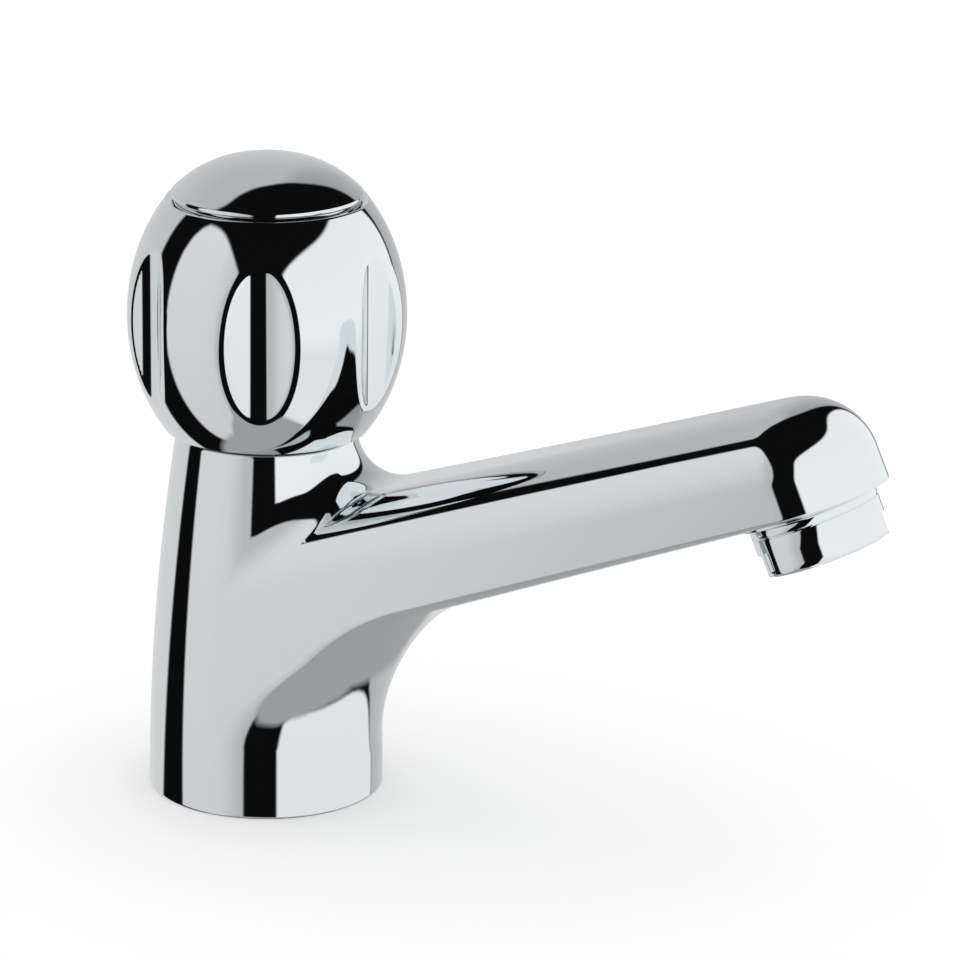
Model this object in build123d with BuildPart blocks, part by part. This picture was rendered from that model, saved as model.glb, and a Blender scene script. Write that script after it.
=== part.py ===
from build123d import *
import math
import os

# Long neck basin tap. Millimetres. The origin is the middle of the base where it stands on the deck,
# +Z is up and +X runs along the spout.

# Column and neck
base_r = 24.0
column_bow = 495.0
neck_top = 75.0
neck_room = 1.74
boss_top = 68.0
root_round = 9.0
root_height = 64.5

# Spout
arch_r = 41.7
arch_low = 9.9
under_slope = 0.407
top_slope = 0.346
top_round = 12.4
spout_end_r = 16.0
nose_inset = 0.05
spout_tuck = 0.3
foot_inset = 0.6
foot_height = 20.0
foot_lean = 0.05
arch_start = 0.1
foot_run = 2.0
side_step = 0.3
slice_step = 6
slice_over = 1.6
far = 200.0

# Nozzle and aerator, measured along an axis that leans outwards
nozzle_lean = 24.4
outlet_x = 122.7
outlet_z = 68.4
lip_height = 9.85
lip_wide = 3.9
lip_overlap = 4.0
stub_r = 11.0
stub_root = 1.0
stub_low = 4.4
nozzle_bore_r = 9.0
nozzle_bore_top = 19.0
aerator_wall = 1.86
aerator_edge = 0.6
aerator_ring_high = 1.7
aerator_groove = 0.2
flat_wide = 24.3
flat_high = 4.3
flat_turn = 26.0
aerator_lip_wide = 1.84
aerator_lip = 1.6
aerator_gap = 0.25
insert_high = 3.2
insert_inset = 0.4
insert_gap = 0.1
gasket_lip = 0.3
screen_thick = 0.4
screen_pitch = 1.9
screen_rows = 7
thread_gap = 0.04
jet_r = 0.75
jet_pitch = 1.1
jet_rows = 7
screen_hole_r = 0.55

# Waterway
inlet_depth = 14.0
thread_relief = 1.5
core_r = 17.5
core_foot = 8.0
core_head = 14.0
throat = 4.0
seat_z = 46.0
seat_bore_r = 4.75
seat_rim_r = 6.5
chamber_low = 43.0
chamber_top = 55.0
chamber_r = 9.0
# each ring of the duct: x from the axis, height of its middle, half width, half height
duct_rings = [(7.0, 48.4, 7.0, 4.3), (34.0, 58.0, 10.0, 7.0)]
# its last ring, measured from the outlet: x back from it, drop below the spout's top line
duct_end = (7.6, 11.7, 9.5, 6.5)

# Headwork
bonnet_thread_r = 10.48
bonnet_low = 55.3
bonnet_hex_step = 1.52
bonnet_hex_top = 76.0
bonnet_top = 92.0
bonnet_neck_wall = 0.9
seal_thick = 1.5
seal_wide = 3.02
seal_gap = 0.1
carrier_hex = 13.0
carrier_high = 12.0
slide_gap = 0.08
shaft_gap = 0.04
touch_gap = 0.04
spindle_r = 5.0
spindle_thread_r = 4.0
spindle_low = 55.6
spindle_tip = 0.6
flange_wide = 1.4
flange_low = 74.5
flange_thick = 2.0
thrust_thick = 0.8
ring_heights = (82.0, 86.0)
ring_depth = 1.1
ring_wide = 1.6
ring_gap = 0.01
clip_thick = 0.8
clip_wide = 1.4
clip_depth = 0.7
clip_gap = 0.02
clip_room = 0.05
clip_above = 0.15
clip_mouth = 6.45
clip_mouth_low = 1.92
spline_low = 95.5
spline_top = 109.0
spline_r = 4.0
spline_depth = 0.45
spline_teeth = 20
spline_gap = 0.05
washer_thick = 3.0
washer_r = 6.3
washer_screw_r = 1.5
washer_screw_head_r = 2.6
washer_screw_head = 1.6
slot_wide = 0.7
slot_deep = 0.8
screw_gap = 0.02
screw_web = 0.8
washer_gap = 0.05
tip_room = 0.3
valve_lift = 3.0

# Knob
knob_low = 75.6
knob_low_r = 18.9
knob_r = 28.1
knob_top = 123.4
shoulder = 0.7
# each point of the knob's outline: how far inside knob_r, height
knob_outline = [(6.1, 78.0), (3.8, 82.2), (1.7, 87.5), (0, 99.3), (0.6, 106.0), (2.6, 113.5), (5.3, 119.3)]
knob_wall = 2.0
cavity_wall = 2.6
cavity_mouth = 1.0
cavity_flare = 9.0
cavity_head = 8.0
cavity_head_in = 2.5
plate_low = 115.0
plate_top = 118.6
hub_r = 8.2
hub_low = 96.5
insert_r = 5.9
insert_fit = 0.02
insert_room = 0.3
insert_top = 112.0
access_r = 5.0
flute_count = 6
flute_r = 12.0
flute_deep = 3.9
flute_turn = -5.8
flute_round = 1.0
cap_r = 19.2
cap_low = 123.75
cap_edge = 0.85
cap_top = 131.9
cap_wall = 1.2
cap_lap = 0.5
cap_drop = 0.2
cap_skirt_low = 119.6
cap_gap = 0.25
handle_screw_r = 1.98
handle_screw_low = 99.0
handle_screw_head_r = 3.8
handle_screw_head = 2.5
head_round = 1.0
cross_long = 4.2
cross_wide = 0.9
cross_deep = 1.6
screw_pass_gap = 0.2
screw_washer_r = 4.5
screw_washer_thick = 0.8

# Base and below the deck
base_edge = 0.6
gasket_in = 14.0
gasket_out = 20.5
gasket_thick = 2.2
shank_r = 10.48
shank_bore_r = 7.5
shank_top = 12.4
shank_low = -50.0
shank_edge = 1.0
shank_seal_gap = 0.1
shank_seal_lip = 0.4
# the free end is turned down a little, so that the supply's nut starts easily
hose_end_r = 10.28
hose_end_gap = 0.7
deck_thick = 15.0
soft_r = 20.0
soft_thick = 2.5
steel_r = 19.0
steel_thick = 1.6
nut_across = 30.0
nut_height = 9.0
nut_flange_r = 17.3
nut_flange = 2.0


def column_radius(z):
    return base_r - z * z / (2 * column_bow)


def hexagon(across):
    return RegularPolygon(radius=across / 2, side_count=6, major_radius=False)


def spline_points(radius):
    # corners of a fine toothed outline, outer and inner by turns
    points = []
    for i in range(2 * spline_teeth):
        reach = radius - spline_depth * (i % 2)
        turn = math.pi * i / spline_teeth
        points.append((reach * math.cos(turn), reach * math.sin(turn)))
    return points


os.makedirs("parts", exist_ok=True)

# Sizes that follow from the ones above
bonnet_hex = 2 * (bonnet_thread_r + bonnet_hex_step)
neck_recess_r = bonnet_hex / math.sqrt(3) + neck_room
bonnet_neck_r = (carrier_hex + 2 * slide_gap) / math.sqrt(3) + bonnet_neck_wall
flange_r = spindle_r + flange_wide
clip_r = spindle_r + clip_wide
aerator_r = stub_r + thread_gap + aerator_wall
aerator_groove_r = aerator_r - aerator_groove
aerator_lip_r = stub_r + thread_gap - aerator_lip_wide
lip_r = stub_r + lip_wide
seal_r = bonnet_thread_r + seal_wide
flute_reach = knob_r - flute_deep
cavity_r = flute_reach - cavity_wall
knob_top_r = cap_r + shoulder
cap_skirt_r = cap_r - cap_lap
lean = math.radians(nozzle_lean)


def top_line(x):
    # the spout's top leaves the neck at root_height
    return root_height + top_slope * (x - column_radius(neck_top))


# Outer shape of the spout: level slices from the column's foot to the tip, lofted
arch_turn = math.atan(under_slope)
arch_x = base_r - arch_start + arch_r
arch_end_z = arch_low + arch_r * math.cos(arch_turn)
arch_end_x = arch_x - arch_r * math.sin(arch_turn)


def spout_front(z):
    # furthest point of the spout at this height: the arch, then the straight underside
    if z <= arch_low + foot_run:
        return column_radius(z) - foot_inset
    if z <= arch_end_z:
        return arch_x - math.sqrt(arch_r**2 - (z - arch_low) ** 2)
    return arch_end_x + (z - arch_end_z) / under_slope


# how deep the rounded front is at each height; the slices are evenly spaced, and the last one lies just
# above the nose
slice_table = [
    (6, 21.9), (12, 19.9), (18, 18.0), (24, 16.2), (30, 14.5), (36, 12.8),
    (42, 11.3), (48, 9.9), (54, 8.6), (60, 7.4), (66, 6.4), (72, 5.5),
    (78, 4.8), (84, 4.3), (90, 4.0), (96, 4.0), (102, 4.0), (108, 4.0),
]  # fmt: skip
slice_low = slice_table[0][0]
slice_top = top_line(outlet_x + spout_end_r) + slice_over
slice_count = round((slice_top - slice_low) / slice_step)


def slice_depth(z):
    # depth of the rounded front at this height, read between two lines of the table
    for (z1, depth1), (z2, depth2) in zip(slice_table, slice_table[1:]):
        if z <= z2:
            return depth1 + (depth2 - depth1) * (z - z1) / (z2 - z1)
    return slice_table[-1][1]


bend = math.sqrt(0.5)
faces = []
for i in range(slice_count + 1):
    height = slice_low + (slice_top - slice_low) * i / slice_count
    rear_r = column_radius(height) - spout_tuck - max(0, (foot_height - height) * foot_lean)
    axis_x = outlet_x - (height - outlet_z) * math.tan(lean)
    taper = math.asin((rear_r - spout_end_r) / axis_x)
    front = spout_front(height)
    side_x = max(front - slice_depth(height), rear_r * math.sin(taper) + side_step)
    depth = front - side_x
    side_y = rear_r / math.cos(taper) - side_x * math.tan(taper)
    start = (rear_r * math.sin(taper), rear_r * math.cos(taper))
    mid = (side_x + depth * bend, side_y * bend)
    with BuildSketch(Plane.XY.offset(height)) as slice_sketch:
        with BuildLine():
            Line(start, (side_x, side_y))
            Spline(
                (side_x, side_y),
                mid,
                (front, 0),
                tangents=[(1, -math.tan(taper)), (0, -1)],
            )
            Spline(
                (front, 0),
                (mid[0], -mid[1]),
                (side_x, -side_y),
                tangents=[(0, -1), (-1, -math.tan(taper))],
            )
            Line((side_x, -side_y), (start[0], -start[1]))
            ThreePointArc((start[0], -start[1]), (-rear_r, 0), start)
        make_face()
    faces.append(slice_sketch.sketch.faces()[0])

nozzle = Plane(
    origin=(outlet_x, 0, outlet_z),
    x_dir=(math.cos(lean), 0, math.sin(lean)),
    z_dir=(-math.sin(lean), 0, math.cos(lean)),
)
nose_height = (top_line(outlet_x) - outlet_z) / (
    math.cos(lean) + top_slope * math.sin(lean)
)

with BuildPart() as spout_shape:
    add(loft(sections=faces))
    with BuildSketch(Plane.XZ):
        with BuildLine():
            Polyline(
                (-far, top_line(-far)),
                (-far, far),
                (far, far),
                (far, top_line(far)),
                close=True,
            )
        make_face()
    extrude(amount=far, both=True, mode=Mode.SUBTRACT)
    top_edges = [
        e
        for e in spout_shape.edges()
        if all(abs((e @ t).Z - top_line((e @ t).X)) < 0.02 for t in (0, 0.5, 1))
        and (e @ 0.5).X < outlet_x + spout_end_r
    ]
    fillet(top_edges, top_round)

with BuildPart() as nose:
    with BuildSketch(nozzle):
        Circle(spout_end_r - nose_inset)
    extrude(amount=nose_height - nose_inset)
    fillet(nose.edges().filter_by(GeomType.CIRCLE).sort_by(Axis.Z)[-1], top_round)
    with BuildSketch(nozzle):
        Circle(spout_end_r - nose_inset)
    extrude(amount=-far)

with BuildPart() as beyond_nose:
    with BuildSketch(nozzle.offset(-far)):
        with Locations((far / 2, 0)):
            Rectangle(far, far)
    extrude(amount=2 * far)
    add(nose.part, mode=Mode.SUBTRACT)

back, drop, end_half_width, end_half_height = duct_end
end_x = outlet_x - back
end_ring = (end_x, top_line(end_x) - drop, end_half_width, end_half_height)
with BuildPart() as duct:
    for x, middle, half_width, half_height in duct_rings + [end_ring]:
        with BuildSketch(Plane.YZ.offset(x)):
            with Locations((0, middle)):
                Ellipse(half_width, half_height)
    loft(ruled=True)

with BuildPart() as body_casting:
    with BuildSketch(Plane.XZ):
        with BuildLine():
            Polyline(
                (base_r, 0),
                (0, 0),
                (0, neck_top),
                (column_radius(neck_top), neck_top),
            )
            ThreePointArc(
                (column_radius(neck_top), neck_top),
                (column_radius(neck_top / 2), neck_top / 2),
                (base_r, 0),
            )
        make_face()
    revolve(axis=Axis.Z)
    add(spout_shape.part - beyond_nose.part)
    root_edges = [
        e
        for e in body_casting.edges()
        if all(
            abs(math.hypot((e @ t).X, (e @ t).Y) - column_radius((e @ t).Z)) < 0.02
            for t in (0, 0.25, 0.5, 0.75, 1)
        )
        and 50 < (e @ 0.5).Z < neck_top - 1
        and (e @ 0.5).X > 3
        and e.geom_type != GeomType.CIRCLE
    ]
    fillet(root_edges, root_round)
    fillet(body_casting.edges().filter_by(GeomType.CIRCLE).group_by(Axis.Z)[0], base_edge)

    # nozzle: flat lip, threaded stub and bore
    with BuildSketch(nozzle.offset(lip_height)):
        Circle(lip_r)
    extrude(amount=lip_overlap)
    with BuildSketch(nozzle):
        Circle(spout_end_r + lip_overlap)
    extrude(amount=lip_height, both=True, mode=Mode.SUBTRACT)
    with BuildSketch(nozzle.offset(stub_low)):
        Circle(stub_r)
    extrude(amount=lip_height - stub_low + stub_root)

    # duct from the valve chamber to the nozzle
    add(duct.part, mode=Mode.SUBTRACT)
    with BuildSketch(nozzle):
        Circle(nozzle_bore_r)
    extrude(amount=nozzle_bore_top, mode=Mode.SUBTRACT)

    # everything bored on the column's axis, as one turned outline
    with BuildSketch(Plane.XZ):
        with BuildLine():
            Polyline(
                (0, -1),
                (shank_r + thread_gap, -1),
                (shank_r + thread_gap, inlet_depth),
                (shank_r - thread_relief, inlet_depth + thread_relief),
                (core_r, inlet_depth + core_foot),
                (core_r, chamber_low - core_head),
                (seat_bore_r, chamber_low - throat),
                (seat_bore_r, seat_z),
                (seat_rim_r, seat_z),
                (seat_rim_r, chamber_low),
                (chamber_r, chamber_low),
                (chamber_r, chamber_top),
                (bonnet_thread_r + thread_gap, chamber_top),
                (bonnet_thread_r + thread_gap, boss_top),
                (neck_recess_r, boss_top),
                (neck_recess_r, neck_top + 20),
                (0, neck_top + 20),
                close=True,
            )
        make_face()
    revolve(axis=Axis.Z, mode=Mode.SUBTRACT)

    # groove under the base for the gasket
    with BuildSketch(Plane.XY):
        Circle(gasket_out)
        Circle(gasket_in, mode=Mode.SUBTRACT)
    extrude(amount=gasket_thick, mode=Mode.SUBTRACT)
body_casting.part.label = "body_casting"
export_step(body_casting.part, "parts/body_casting.step")

# Seals and fixings at the base
steel_low = -deck_thick - soft_thick - steel_thick
nut_low = steel_low - nut_height
with BuildPart() as base_gasket:
    with BuildSketch(Plane.XY):
        Circle(gasket_out)
        Circle(gasket_in, mode=Mode.SUBTRACT)
    extrude(amount=gasket_thick)
base_gasket.part.label = "base_gasket"
export_step(base_gasket.part, "parts/base_gasket.step")

with BuildPart() as inlet_shank:
    with BuildSketch(Plane.XY.offset(shank_low)):
        Circle(hose_end_r)
    extrude(amount=shank_top - shank_low)
    chamfer(inlet_shank.edges().group_by(Axis.Z)[0], shank_edge)
    with BuildSketch(Plane.XY.offset(nut_low - hose_end_gap)):
        Circle(shank_r)
    extrude(amount=shank_top - nut_low + hose_end_gap)
    with BuildSketch(Plane.XY.offset(shank_low)):
        Circle(shank_bore_r)
    extrude(amount=shank_top - shank_low, mode=Mode.SUBTRACT)
inlet_shank.part.label = "inlet_shank"
export_step(inlet_shank.part, "parts/inlet_shank.step")

with BuildPart() as shank_seal:
    with BuildSketch(Plane.XY.offset(shank_top)):
        Circle(shank_r - shank_seal_gap)
        Circle(shank_bore_r + shank_seal_lip, mode=Mode.SUBTRACT)
    extrude(amount=inlet_depth - shank_top)
shank_seal.part.label = "shank_seal"
export_step(shank_seal.part, "parts/shank_seal.step")

with BuildPart() as deck_washer_rubber:
    with BuildSketch(Plane.XY.offset(-deck_thick - soft_thick)):
        Circle(soft_r)
        Circle(shank_r + thread_gap, mode=Mode.SUBTRACT)
    extrude(amount=soft_thick)
deck_washer_rubber.part.label = "deck_washer_rubber"
export_step(deck_washer_rubber.part, "parts/deck_washer_rubber.step")

with BuildPart() as deck_washer_metal:
    with BuildSketch(Plane.XY.offset(steel_low)):
        Circle(steel_r)
        Circle(shank_r + thread_gap, mode=Mode.SUBTRACT)
    extrude(amount=steel_thick)
deck_washer_metal.part.label = "deck_washer_metal"
export_step(deck_washer_metal.part, "parts/deck_washer_metal.step")

with BuildPart() as backnut:
    with BuildSketch(Plane.XY.offset(nut_low)):
        hexagon(nut_across)
    extrude(amount=nut_height)
    with BuildSketch(Plane.XY.offset(steel_low - nut_flange)):
        Circle(nut_flange_r)
    extrude(amount=nut_flange)
    with BuildSketch(Plane.XY.offset(nut_low)):
        Circle(shank_r + thread_gap)
    extrude(amount=nut_height, mode=Mode.SUBTRACT)
backnut.part.label = "backnut"
export_step(backnut.part, "parts/backnut.step")

# Headwork
guide_top = flange_low + flange_thick + thrust_thick
with BuildPart() as headwork_body:
    with BuildSketch(Plane.XY.offset(bonnet_low)):
        Circle(bonnet_thread_r)
    extrude(amount=boss_top + seal_thick - bonnet_low)
    with BuildSketch(Plane.XY.offset(boss_top + seal_thick)):
        hexagon(bonnet_hex)
    extrude(amount=bonnet_hex_top - boss_top - seal_thick)
    with BuildSketch(Plane.XY.offset(bonnet_hex_top)):
        Circle(bonnet_neck_r)
    extrude(amount=bonnet_top - bonnet_hex_top)
    with BuildSketch(Plane.XY.offset(bonnet_low)):
        hexagon(carrier_hex + 2 * slide_gap)
    extrude(amount=guide_top - bonnet_low, mode=Mode.SUBTRACT)
    with BuildSketch(Plane.XY.offset(guide_top)):
        Circle(spindle_r + shaft_gap)
    extrude(amount=bonnet_top - guide_top, mode=Mode.SUBTRACT)
headwork_body.part.label = "headwork_body"
export_step(headwork_body.part, "parts/headwork_body.step")

with BuildPart() as headwork_seal:
    with BuildSketch(Plane.XY.offset(boss_top)):
        Circle(seal_r)
        Circle(bonnet_thread_r + seal_gap, mode=Mode.SUBTRACT)
    extrude(amount=seal_thick)
headwork_seal.part.label = "headwork_seal"
export_step(headwork_seal.part, "parts/headwork_seal.step")

clip_low = bonnet_top + clip_above
groove_r = spindle_r - clip_depth
ring_groove_r = spindle_r - ring_depth
with BuildPart() as spindle:
    with BuildSketch(Plane.XZ):
        with BuildLine():
            Polyline(
                (0, spindle_low),
                (spindle_thread_r - spindle_tip, spindle_low),
                (spindle_thread_r, spindle_low + spindle_tip),
                (spindle_thread_r, flange_low),
                (flange_r, flange_low),
                (flange_r, flange_low + flange_thick),
                (spindle_r, flange_low + flange_thick),
                (spindle_r, ring_heights[0]),
                (ring_groove_r, ring_heights[0]),
                (ring_groove_r, ring_heights[0] + ring_wide),
                (spindle_r, ring_heights[0] + ring_wide),
                (spindle_r, ring_heights[1]),
                (ring_groove_r, ring_heights[1]),
                (ring_groove_r, ring_heights[1] + ring_wide),
                (spindle_r, ring_heights[1] + ring_wide),
                (spindle_r, clip_low),
                (groove_r, clip_low),
                (groove_r, clip_low + clip_thick),
                (spindle_r, clip_low + clip_thick),
                (spindle_r, spline_low),
                (0, spline_low),
                close=True,
            )
        make_face()
    revolve(axis=Axis.Z)
    with BuildSketch(Plane.XY.offset(spline_low)):
        Polygon(*spline_points(spline_r), align=None)
    extrude(amount=spline_top - spline_low)
    with BuildSketch(Plane.XY.offset(spline_top)):
        Circle(handle_screw_r + screw_gap)
    extrude(amount=handle_screw_low - tip_room - spline_top, mode=Mode.SUBTRACT)
spindle.part.label = "spindle"
export_step(spindle.part, "parts/spindle.step")

with BuildPart() as thrust_washer:
    with BuildSketch(Plane.XY.offset(flange_low + flange_thick + touch_gap)):
        Circle(flange_r)
        Circle(spindle_r + shaft_gap, mode=Mode.SUBTRACT)
    extrude(amount=thrust_thick - touch_gap)
thrust_washer.part.label = "thrust_washer"
export_step(thrust_washer.part, "parts/thrust_washer.step")

ring_section_r = ring_depth / 2 - ring_gap
with BuildPart() as spindle_o_rings:
    for height in ring_heights:
        with BuildSketch(Plane.XZ):
            with Locations((ring_groove_r + ring_section_r + ring_gap, height + ring_wide / 2)):
                Circle(ring_section_r)
        revolve(axis=Axis.Z)
spindle_o_rings.part.label = "spindle_o_rings"
export_step(spindle_o_rings.part, "parts/spindle_o_rings.step")

with BuildPart() as spindle_circlip:
    with BuildSketch(Plane.XY.offset(clip_low + clip_gap)):
        Circle(clip_r)
        Circle(groove_r + clip_room, mode=Mode.SUBTRACT)
        with Locations((0, clip_r)):
            Rectangle(clip_mouth, 2 * (clip_r - clip_mouth_low), mode=Mode.SUBTRACT)
    extrude(amount=clip_thick - 2 * clip_gap)
spindle_circlip.part.label = "spindle_circlip"
export_step(spindle_circlip.part, "parts/spindle_circlip.step")

washer_low = seat_z + touch_gap
carrier_low = washer_low + washer_thick
carrier_bore_low = spindle_low - valve_lift - tip_room
screw_tip = carrier_bore_low - screw_web
with BuildPart() as valve_carrier:
    with BuildSketch(Plane.XY.offset(carrier_low)):
        hexagon(carrier_hex)
    extrude(amount=carrier_high)
    with BuildSketch(Plane.XY.offset(carrier_low + carrier_high)):
        Circle(spindle_thread_r + shaft_gap)
    extrude(amount=carrier_bore_low - carrier_low - carrier_high, mode=Mode.SUBTRACT)
    with BuildSketch(Plane.XY.offset(carrier_low)):
        Circle(washer_screw_r + screw_gap)
    extrude(amount=screw_tip - carrier_low + tip_room, mode=Mode.SUBTRACT)
valve_carrier.part.label = "valve_carrier"
export_step(valve_carrier.part, "parts/valve_carrier.step")

with BuildPart() as valve_washer:
    with BuildSketch(Plane.XY.offset(washer_low)):
        Circle(washer_r)
        Circle(washer_screw_r + washer_gap, mode=Mode.SUBTRACT)
    extrude(amount=washer_thick)
valve_washer.part.label = "valve_washer"
export_step(valve_washer.part, "parts/valve_washer.step")

with BuildPart() as washer_screw:
    with BuildSketch(Plane.XY.offset(washer_low - washer_screw_head)):
        Circle(washer_screw_head_r)
    extrude(amount=washer_screw_head)
    with BuildSketch(Plane.XY.offset(washer_low)):
        Circle(washer_screw_r)
    extrude(amount=screw_tip - washer_low)
    with BuildSketch(Plane.XY.offset(washer_low - washer_screw_head)):
        Rectangle(3 * washer_screw_head_r, slot_wide)
    extrude(amount=slot_deep, mode=Mode.SUBTRACT)
washer_screw.part.label = "washer_screw"
export_step(washer_screw.part, "parts/washer_screw.step")

# Knob


def flute_distance(point):
    # how far a point lies from the axis of the nearest flute's cutter
    axes = [math.radians(flute_turn + 360 / flute_count * i) for i in range(flute_count)]
    reach = flute_reach + flute_r
    return min(math.hypot(point.X - reach * math.cos(a), point.Y - reach * math.sin(a)) for a in axes)


with BuildPart() as handle_shell:
    with BuildSketch(Plane.XZ):
        with BuildLine():
            bulge = [(knob_r - inside, height) for inside, height in knob_outline]
            Spline((knob_low_r, knob_low), *bulge, (knob_top_r, knob_top))
            Polyline((knob_top_r, knob_top), (0, knob_top), (0, knob_low), (knob_low_r, knob_low))
        make_face()
    revolve(axis=Axis.Z)
    with BuildSketch(Plane.XY.offset(knob_low)):
        with PolarLocations(flute_reach + flute_r, flute_count, start_angle=flute_turn):
            Circle(flute_r)
    extrude(amount=knob_top - knob_low, mode=Mode.SUBTRACT)
    rims = [
        e
        for e in handle_shell.edges()
        if all(abs(flute_distance(e @ t) - flute_r) < 0.02 for t in (0.1, 0.5, 0.9))
        and knob_low + 1 < (e @ 0.5).Z < knob_top - 1
    ]
    fillet(rims, flute_round)
    with BuildSketch(Plane.XZ):
        with BuildLine():
            Polyline(
                (0, knob_low - 1),
                (knob_low_r - knob_wall, knob_low - 1),
                (knob_low_r - knob_wall, knob_low + cavity_mouth),
                (cavity_r, knob_low + cavity_mouth + cavity_flare),
                (cavity_r, plate_low - cavity_head),
                (cavity_r - cavity_head_in, plate_low),
                (hub_r, plate_low),
                (hub_r, hub_low),
                (0, hub_low),
                close=True,
            )
        make_face()
    revolve(axis=Axis.Z, mode=Mode.SUBTRACT)
    with BuildSketch(Plane.XY.offset(plate_top)):
        Circle(cap_skirt_r + cap_gap)
    extrude(amount=knob_top - plate_top, mode=Mode.SUBTRACT)
    with BuildSketch(Plane.XY.offset(hub_low)):
        Circle(insert_r + insert_fit)
    extrude(amount=insert_top - hub_low, mode=Mode.SUBTRACT)
    with BuildSketch(Plane.XY.offset(insert_top)):
        Circle(access_r)
    extrude(amount=plate_top - insert_top, mode=Mode.SUBTRACT)
handle_shell.part.label = "handle_shell"
export_step(handle_shell.part, "parts/handle_shell.step")

with BuildPart() as handle_insert:
    with BuildSketch(Plane.XY.offset(hub_low)):
        Circle(insert_r)
    extrude(amount=insert_top - hub_low)
    with BuildSketch(Plane.XY.offset(hub_low)):
        Polygon(*spline_points(spline_r + spline_gap), align=None)
    extrude(amount=spline_top + insert_room - hub_low, mode=Mode.SUBTRACT)
    with BuildSketch(Plane.XY.offset(spline_top)):
        Circle(handle_screw_r + screw_pass_gap)
    extrude(amount=insert_top - spline_top, mode=Mode.SUBTRACT)
handle_insert.part.label = "handle_insert"
export_step(handle_insert.part, "parts/handle_insert.step")

with BuildPart() as screw_washer:
    with BuildSketch(Plane.XY.offset(insert_top)):
        Circle(screw_washer_r)
        Circle(handle_screw_r + screw_pass_gap, mode=Mode.SUBTRACT)
    extrude(amount=screw_washer_thick)
screw_washer.part.label = "screw_washer"
export_step(screw_washer.part, "parts/screw_washer.step")

screw_seat = insert_top + screw_washer_thick
with BuildPart() as handle_screw:
    with BuildSketch(Plane.XY.offset(screw_seat)):
        Circle(handle_screw_head_r)
    extrude(amount=handle_screw_head)
    fillet(handle_screw.edges().group_by(Axis.Z)[-1], head_round)
    with BuildSketch(Plane.XY.offset(handle_screw_low)):
        Circle(handle_screw_r)
    extrude(amount=screw_seat - handle_screw_low)
    with BuildSketch(Plane.XY.offset(screw_seat + handle_screw_head)):
        Rectangle(cross_long, cross_wide)
        Rectangle(cross_wide, cross_long)
    extrude(amount=-cross_deep, mode=Mode.SUBTRACT)
handle_screw.part.label = "handle_screw"
export_step(handle_screw.part, "parts/handle_screw.step")

dome_low = cap_low + cap_edge
dome_rise = cap_top - dome_low
dome_r = (cap_r**2 + dome_rise**2) / (2 * dome_rise)
with BuildPart() as handle_cap:
    with BuildSketch(Plane.XZ):
        with BuildLine():
            Polyline(
                (cap_skirt_r, cap_low),
                (cap_r, cap_low),
                (cap_r, dome_low),
            )
            RadiusArc((cap_r, dome_low), (0, cap_top), -dome_r)
            Line((0, cap_top), (0, cap_top - cap_wall))
            RadiusArc((0, cap_top - cap_wall), (cap_skirt_r - cap_wall, dome_low - cap_drop), dome_r)
            Polyline(
                (cap_skirt_r - cap_wall, dome_low - cap_drop),
                (cap_skirt_r - cap_wall, cap_skirt_low),
                (cap_skirt_r, cap_skirt_low),
                (cap_skirt_r, cap_low),
            )
        make_face()
    revolve(axis=Axis.Z)
handle_cap.part.label = "handle_cap"
export_step(handle_cap.part, "parts/handle_cap.step")

# Aerator, turned about the nozzle's axis
nozzle_side = Plane(origin=nozzle.origin, x_dir=nozzle.x_dir, z_dir=-nozzle.y_dir)
nozzle_axis = Axis(nozzle.origin, nozzle.z_dir)
housing_top = lip_height - aerator_gap
groove_high = housing_top - aerator_ring_high
with BuildPart() as aerator_housing:
    with BuildSketch(nozzle_side):
        with BuildLine():
            Polyline(
                (aerator_lip_r, 0),
                (aerator_r - aerator_edge, 0),
                (aerator_r, aerator_edge),
                (aerator_r, groove_high - 2 * aerator_groove),
                (aerator_groove_r, groove_high - aerator_groove),
                (aerator_groove_r, groove_high),
                (aerator_r, groove_high + aerator_groove),
                (aerator_r, housing_top),
                (stub_r + thread_gap, housing_top),
                (stub_r + thread_gap, aerator_lip),
                (aerator_lip_r, aerator_lip),
                close=True,
            )
        make_face()
    revolve(axis=nozzle_axis)

    # two flats for the spanner
    with BuildSketch(nozzle):
        Circle(aerator_r + 1)
        Rectangle(flat_wide, 3 * aerator_r, rotation=flat_turn, mode=Mode.SUBTRACT)
    extrude(amount=flat_high, mode=Mode.SUBTRACT)
aerator_housing.part.label = "aerator_housing"
export_step(aerator_housing.part, "parts/aerator_housing.step")

with BuildPart() as aerator_insert:
    with BuildSketch(nozzle.offset(insert_inset)):
        Circle(aerator_lip_r - insert_gap)
    extrude(amount=insert_high - insert_inset)
    with BuildSketch(nozzle.offset(aerator_lip)):
        Circle(stub_r - insert_gap)
    extrude(amount=insert_high - aerator_lip)
    with BuildSketch(nozzle):
        with HexLocations(jet_pitch, jet_rows, jet_rows):
            Circle(jet_r)
    extrude(amount=insert_high, mode=Mode.SUBTRACT)
aerator_insert.part.label = "aerator_insert"
export_step(aerator_insert.part, "parts/aerator_insert.step")

with BuildPart() as aerator_gasket:
    with BuildSketch(nozzle.offset(insert_high)):
        Circle(stub_r - insert_gap)
        Circle(nozzle_bore_r + gasket_lip, mode=Mode.SUBTRACT)
    extrude(amount=stub_low - insert_high)
aerator_gasket.part.label = "aerator_gasket"
export_step(aerator_gasket.part, "parts/aerator_gasket.step")

with BuildPart() as aerator_screen:
    with BuildSketch(nozzle.offset(insert_high)):
        Circle(nozzle_bore_r + gasket_lip - insert_gap)
        with GridLocations(screen_pitch, screen_pitch, screen_rows, screen_rows):
            Circle(screen_hole_r, mode=Mode.SUBTRACT)
    extrude(amount=screen_thick)
aerator_screen.part.label = "aerator_screen"
export_step(aerator_screen.part, "parts/aerator_screen.step")
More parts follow.
